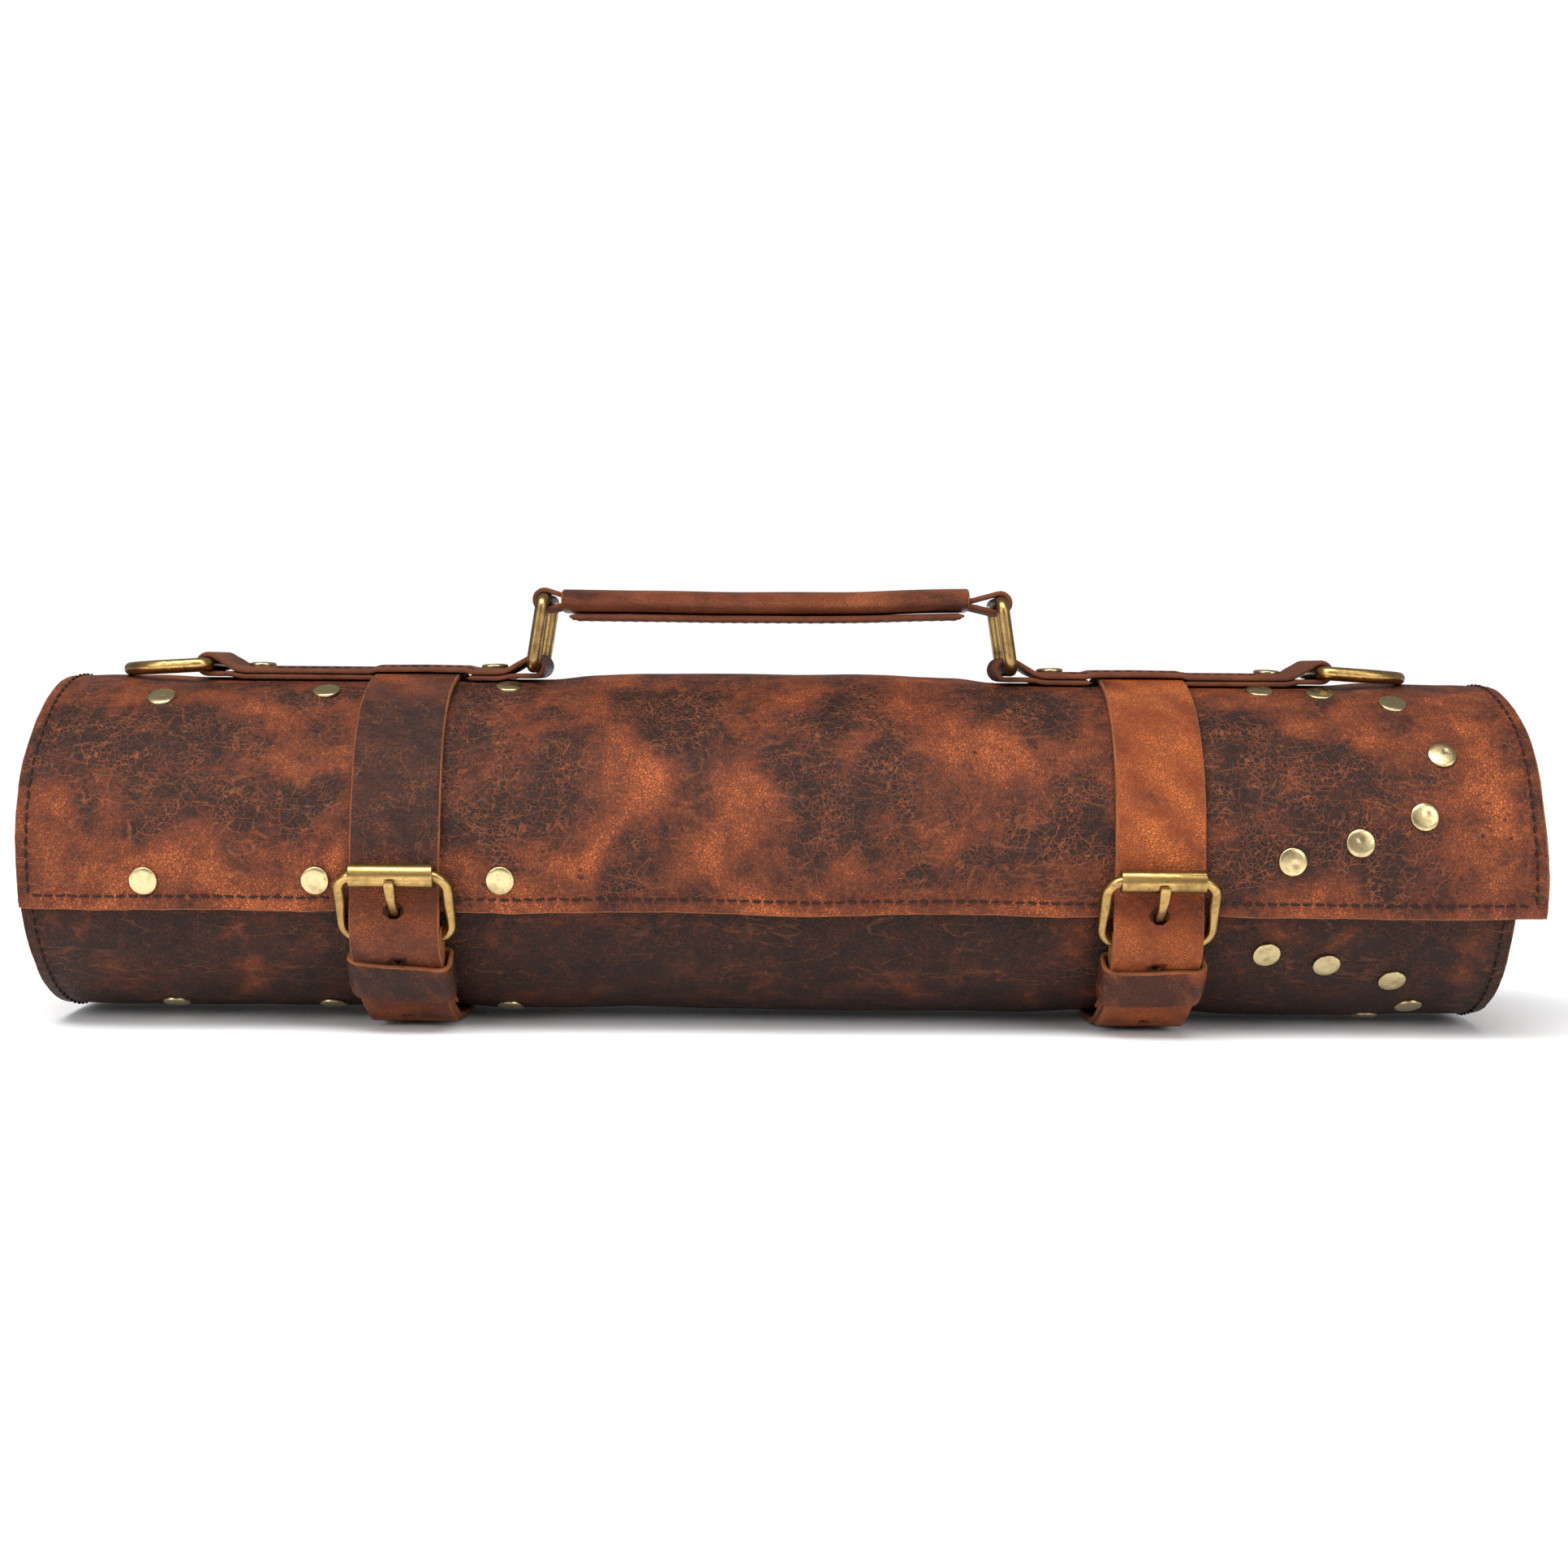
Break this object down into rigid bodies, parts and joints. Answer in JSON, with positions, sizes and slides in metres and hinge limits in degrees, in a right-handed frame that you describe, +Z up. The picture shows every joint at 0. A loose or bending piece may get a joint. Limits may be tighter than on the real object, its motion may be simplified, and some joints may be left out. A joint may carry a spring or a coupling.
{
  "type": "brush roll case",
  "caption": "Rolled, lined leather case for brushes, closed by two roller-buckle straps, with a riveted pocket panel, carrying handle on rings and two D-rings.",
  "frame": {"origin": "on the surface that the rolled case stands on, under the centre of its bounding box", "axes": "+X along the roll, to the right as the buckles are seen; -Y towards the front, where the flap ends and the buckles are; +Z up, towards the handle"},
  "size_m": [0.462, 0.1232, 0.1382],
  "materials": {
    "pull_up_leather": "oiled pull-up leather, mottled brown",
    "lining_leather": "napped flesh side",
    "pocket_leather": "matt leather",
    "strap_leather": "waxed, satin",
    "base_leather": "waxed, satin",
    "grip_leather": "waxed, satin",
    "antique_brass": "antique, rubbed",
    "pale_brass": "polished, slightly tarnished"
  },
  "bodies": {
    "root": {"outer_panel": "pull_up_leather", "lining_panel": "lining_leather", "brush_pocket_panel": "pocket_leather", "closing_strap_left": "strap_leather", "closing_strap_right": "strap_leather", "handle_base_left": "base_leather", "handle_base_right": "base_leather", "buckle_frame_left": "antique_brass", "buckle_frame_right": "antique_brass", "rivet_left_top_1": "pale_brass", "rivet_left_top_2": "pale_brass", "rivet_left_top_3": "pale_brass", "rivet_left_middle_1": "pale_brass", "rivet_left_middle_2": "pale_brass", "rivet_left_middle_3": "pale_brass", "rivet_left_bottom_1": "pale_brass", "rivet_left_bottom_2": "pale_brass", "rivet_left_bottom_3": "pale_brass", "rivet_arch_1": "pale_brass", "rivet_arch_2": "pale_brass", "rivet_arch_3": "pale_brass", "rivet_arch_4": "pale_brass", "rivet_arch_5": "pale_brass", "rivet_arch_6": "pale_brass", "rivet_arch_7": "pale_brass", "rivet_lower_1": "pale_brass", "rivet_lower_2": "pale_brass", "rivet_lower_3": "pale_brass", "rivet_lower_4": "pale_brass", "rivet_lower_5": "pale_brass", "rivet_base_left_inner": "pale_brass", "rivet_base_left_outer": "pale_brass", "rivet_base_right_inner": "pale_brass", "rivet_base_right_outer": "pale_brass"},
    "handle": {"handle_strap": "strap_leather", "handle_grip": "grip_leather", "handle_backing": "strap_leather"},
    "handle_ring_left": {"handle_ring_left": "antique_brass"},
    "handle_ring_right": {"handle_ring_right": "antique_brass"},
    "d_ring_left": {"d_ring_left": "antique_brass"},
    "buckle_roller_left": {"buckle_roller_left": "antique_brass"},
    "buckle_prong_left": {"buckle_prong_left": "antique_brass"},
    "keeper_loop_left": {"keeper_loop_left": "strap_leather"},
    "d_ring_right": {"d_ring_right": "antique_brass"},
    "buckle_roller_right": {"buckle_roller_right": "antique_brass"},
    "buckle_prong_right": {"buckle_prong_right": "antique_brass"},
    "keeper_loop_right": {"keeper_loop_right": "strap_leather"}
  },
  "joints": [
    {"name": "handle_swing", "type": "hinge", "parent": "root", "child": "handle_ring_left", "pos_m": [-0.08, 0.0059, 0.113], "axis": [0, 1, 0], "range_deg": [-35, 35]},
    {"name": "handle_on_left_ring", "type": "hinge", "parent": "handle_ring_left", "child": "handle", "pos_m": [-0.0767, 0.0059, 0.13435], "axis": [0, 1, 0], "range_deg": [-38, 38]},
    {"name": "right_ring_on_handle", "type": "hinge", "parent": "handle", "child": "handle_ring_right", "pos_m": [0.069, 0.0059, 0.13435], "axis": [0, 1, 0], "range_deg": [-38, 38]},
    {"name": "d_ring_left_flip", "type": "hinge", "parent": "root", "child": "d_ring_left", "pos_m": [-0.184, 0.0059, 0.113], "axis": [0, 1, 0], "range_deg": [0, 175]},
    {"name": "roller_left_spin", "type": "hinge", "parent": "root", "child": "buckle_roller_left", "pos_m": [-0.116, -0.05578, 0.05075], "axis": [1, 0, 0], "continuous": true},
    {"name": "prong_left_lift", "type": "hinge", "parent": "root", "child": "buckle_prong_left", "pos_m": [-0.116, -0.04464, 0.03095], "axis": [1, 0, 0], "range_deg": [0, 4]},
    {"name": "keeper_left_slide", "type": "hinge", "parent": "root", "child": "keeper_loop_left", "pos_m": [-0.116, 0.0059, 0.05452], "axis": [1, 0, 0], "range_deg": [0, 11]},
    {"name": "d_ring_right_flip", "type": "hinge", "parent": "root", "child": "d_ring_right", "pos_m": [0.1716, 0.0059, 0.113], "axis": [0, -1, 0], "range_deg": [0, 175]},
    {"name": "roller_right_spin", "type": "hinge", "parent": "root", "child": "buckle_roller_right", "pos_m": [0.113, -0.05578, 0.05075], "axis": [1, 0, 0], "continuous": true},
    {"name": "prong_right_lift", "type": "hinge", "parent": "root", "child": "buckle_prong_right", "pos_m": [0.113, -0.04464, 0.03095], "axis": [1, 0, 0], "range_deg": [0, 4]},
    {"name": "keeper_right_slide", "type": "hinge", "parent": "root", "child": "keeper_loop_right", "pos_m": [0.113, 0.0059, 0.05452], "axis": [1, 0, 0], "range_deg": [0, 11]}
  ],
  "couplings": [
    {"joint": "handle_on_left_ring", "follows": "handle_swing", "ratio": -1.042},
    {"joint": "right_ring_on_handle", "follows": "handle_swing", "ratio": 1.042}
  ]
}
